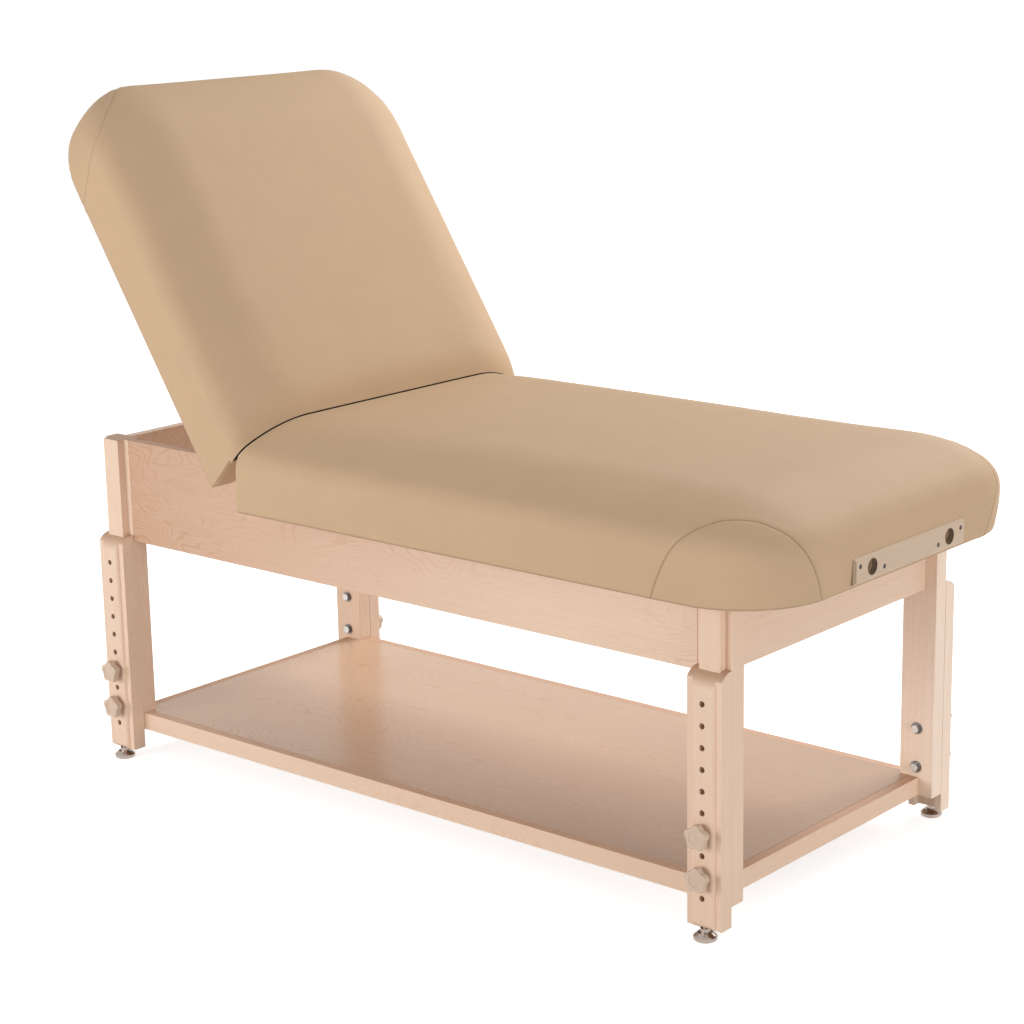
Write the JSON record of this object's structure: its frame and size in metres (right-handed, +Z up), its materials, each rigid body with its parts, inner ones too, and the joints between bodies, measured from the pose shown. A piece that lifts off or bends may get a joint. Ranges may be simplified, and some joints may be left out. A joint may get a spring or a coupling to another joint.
{
  "type": "spa treatment table",
  "caption": "Padded spa treatment table with a lift-up backrest on a wooden frame, telescoping legs clamped by star knobs, a storage shelf and an outlet plate for a face rest.",
  "frame": {"origin": "on the floor under the middle of the table's box with the backrest raised as pictured", "axes": "+X towards the foot end, +Y across the table towards its far side, +Z up"},
  "size_m": [1.586, 0.762, 1.256],
  "materials": {
    "vinyl": "smooth matt vinyl-coated upholstery fabric",
    "maple": "satin lacquered maple",
    "plywood": "satin lacquered plywood",
    "knob_plastic": "fine textured plastic",
    "zinc_steel": "bright zinc",
    "chrome": "polished",
    "dark_screws": "black oxide"
  },
  "bodies": {
    "frame": {"clamp_bolts": "zinc_steel", "clamp_washers": "zinc_steel", "corner_gussets": "maple", "end_apron_foot": "maple", "end_apron_head": "maple", "hinge_pins": "zinc_steel", "outlet_plate": "maple", "outlet_screws": "dark_screws", "post_far_foot": "maple", "post_far_head": "maple", "post_near_foot": "maple", "post_near_head": "maple", "prop_racks": "maple", "seat_cushion": "vinyl", "seat_deck": "plywood", "seat_hinge_leaves": "zinc_steel", "seat_hinge_screws": "zinc_steel", "seat_rail_foot": "plywood", "seat_rail_hinge": "maple", "seat_rail_sides": "maple", "seat_stretcher": "maple", "shelf_battens": "maple", "shelf_lipping_far": "maple", "shelf_lipping_foot": "maple", "shelf_lipping_head": "maple", "shelf_lipping_near": "maple", "shelf_panel": "plywood", "shelf_screws": "zinc_steel", "side_apron_far": "maple", "side_apron_near": "maple", "wood_screws": "zinc_steel"},
    "backrest": {"back_cushion": "vinyl", "back_deck": "plywood", "back_hinge_leaves": "zinc_steel", "back_hinge_screws": "zinc_steel", "back_rail_hinge": "maple", "back_rail_sides": "maple", "back_rail_top": "plywood", "prop_brackets": "maple"},
    "prop": {"prop_arms": "maple", "prop_crossbar": "maple", "prop_pivot_rod": "maple"},
    "glide_far_foot": {"glide_far_foot": "chrome"},
    "glide_far_head": {"glide_far_head": "chrome"},
    "glide_near_foot": {"glide_near_foot": "chrome"},
    "glide_near_head": {"glide_near_head": "chrome"},
    "knob_far_foot_lower": {"knob_far_foot_lower": "knob_plastic"},
    "knob_far_foot_upper": {"knob_far_foot_upper": "knob_plastic"},
    "knob_far_head_lower": {"knob_far_head_lower": "knob_plastic"},
    "knob_far_head_upper": {"knob_far_head_upper": "knob_plastic"},
    "knob_near_foot_lower": {"knob_near_foot_lower": "knob_plastic"},
    "knob_near_foot_upper": {"knob_near_foot_upper": "knob_plastic"},
    "knob_near_head_lower": {"knob_near_head_lower": "knob_plastic"},
    "knob_near_head_upper": {"knob_near_head_upper": "knob_plastic"},
    "leg_far_foot": {"leg_far_foot": "maple"},
    "leg_far_head": {"leg_far_head": "maple"},
    "leg_near_foot": {"leg_near_foot": "maple"},
    "leg_near_head": {"leg_near_head": "maple"}
  },
  "joints": [
    {"name": "backrest_tilt", "type": "hinge", "parent": "frame", "child": "backrest", "pos_m": [-0.33002, 0, 0.6205], "axis": [0, 1, 0], "range_deg": [-57.5, 0]},
    {"name": "prop_swing", "type": "hinge", "parent": "backrest", "child": "prop", "pos_m": [-0.45069, 0, 0.75407], "axis": [0, 1, 0], "range_deg": [0, 115]},
    {"name": "leg_near_foot_slide", "type": "slide", "parent": "frame", "child": "leg_near_foot", "axis": [0, 0, -1], "range_m": [-0.035, 0.21]},
    {"name": "glide_near_foot_turn", "type": "hinge", "parent": "leg_near_foot", "child": "glide_near_foot", "pos_m": [0.64148, -0.33505, 0], "axis": [0, 0, 1], "continuous": true},
    {"name": "knob_near_foot_upper_turn", "type": "hinge", "parent": "frame", "child": "knob_near_foot_upper", "pos_m": [0.64148, -0.3446, 0.1755], "axis": [0, -1, 0], "continuous": true},
    {"name": "knob_near_foot_lower_turn", "type": "hinge", "parent": "frame", "child": "knob_near_foot_lower", "pos_m": [0.64148, -0.3446, 0.1055], "axis": [0, -1, 0], "continuous": true},
    {"name": "leg_near_head_slide", "type": "slide", "parent": "frame", "child": "leg_near_head", "axis": [0, 0, -1], "range_m": [-0.035, 0.21]},
    {"name": "glide_near_head_turn", "type": "hinge", "parent": "leg_near_head", "child": "glide_near_head", "pos_m": [-0.72552, -0.33505, 0], "axis": [0, 0, 1], "continuous": true},
    {"name": "knob_near_head_upper_turn", "type": "hinge", "parent": "frame", "child": "knob_near_head_upper", "pos_m": [-0.72552, -0.3446, 0.1755], "axis": [0, -1, 0], "continuous": true},
    {"name": "knob_near_head_lower_turn", "type": "hinge", "parent": "frame", "child": "knob_near_head_lower", "pos_m": [-0.72552, -0.3446, 0.1055], "axis": [0, -1, 0], "continuous": true},
    {"name": "leg_far_foot_slide", "type": "slide", "parent": "frame", "child": "leg_far_foot", "axis": [0, 0, -1], "range_m": [-0.035, 0.21]},
    {"name": "glide_far_foot_turn", "type": "hinge", "parent": "leg_far_foot", "child": "glide_far_foot", "pos_m": [0.64148, 0.33505, 0], "axis": [0, 0, 1], "continuous": true},
    {"name": "knob_far_foot_upper_turn", "type": "hinge", "parent": "frame", "child": "knob_far_foot_upper", "pos_m": [0.64148, 0.3446, 0.1755], "axis": [0, 1, 0], "continuous": true},
    {"name": "knob_far_foot_lower_turn", "type": "hinge", "parent": "frame", "child": "knob_far_foot_lower", "pos_m": [0.64148, 0.3446, 0.1055], "axis": [0, 1, 0], "continuous": true},
    {"name": "leg_far_head_slide", "type": "slide", "parent": "frame", "child": "leg_far_head", "axis": [0, 0, -1], "range_m": [-0.035, 0.21]},
    {"name": "glide_far_head_turn", "type": "hinge", "parent": "leg_far_head", "child": "glide_far_head", "pos_m": [-0.72552, 0.33505, 0], "axis": [0, 0, 1], "continuous": true},
    {"name": "knob_far_head_upper_turn", "type": "hinge", "parent": "frame", "child": "knob_far_head_upper", "pos_m": [-0.72552, 0.3446, 0.1755], "axis": [0, 1, 0], "continuous": true},
    {"name": "knob_far_head_lower_turn", "type": "hinge", "parent": "frame", "child": "knob_far_head_lower", "pos_m": [-0.72552, 0.3446, 0.1055], "axis": [0, 1, 0], "continuous": true}
  ],
  "couplings": [
    {"joint": "prop_swing", "follows": "backrest_tilt", "ratio": -2}
  ]
}
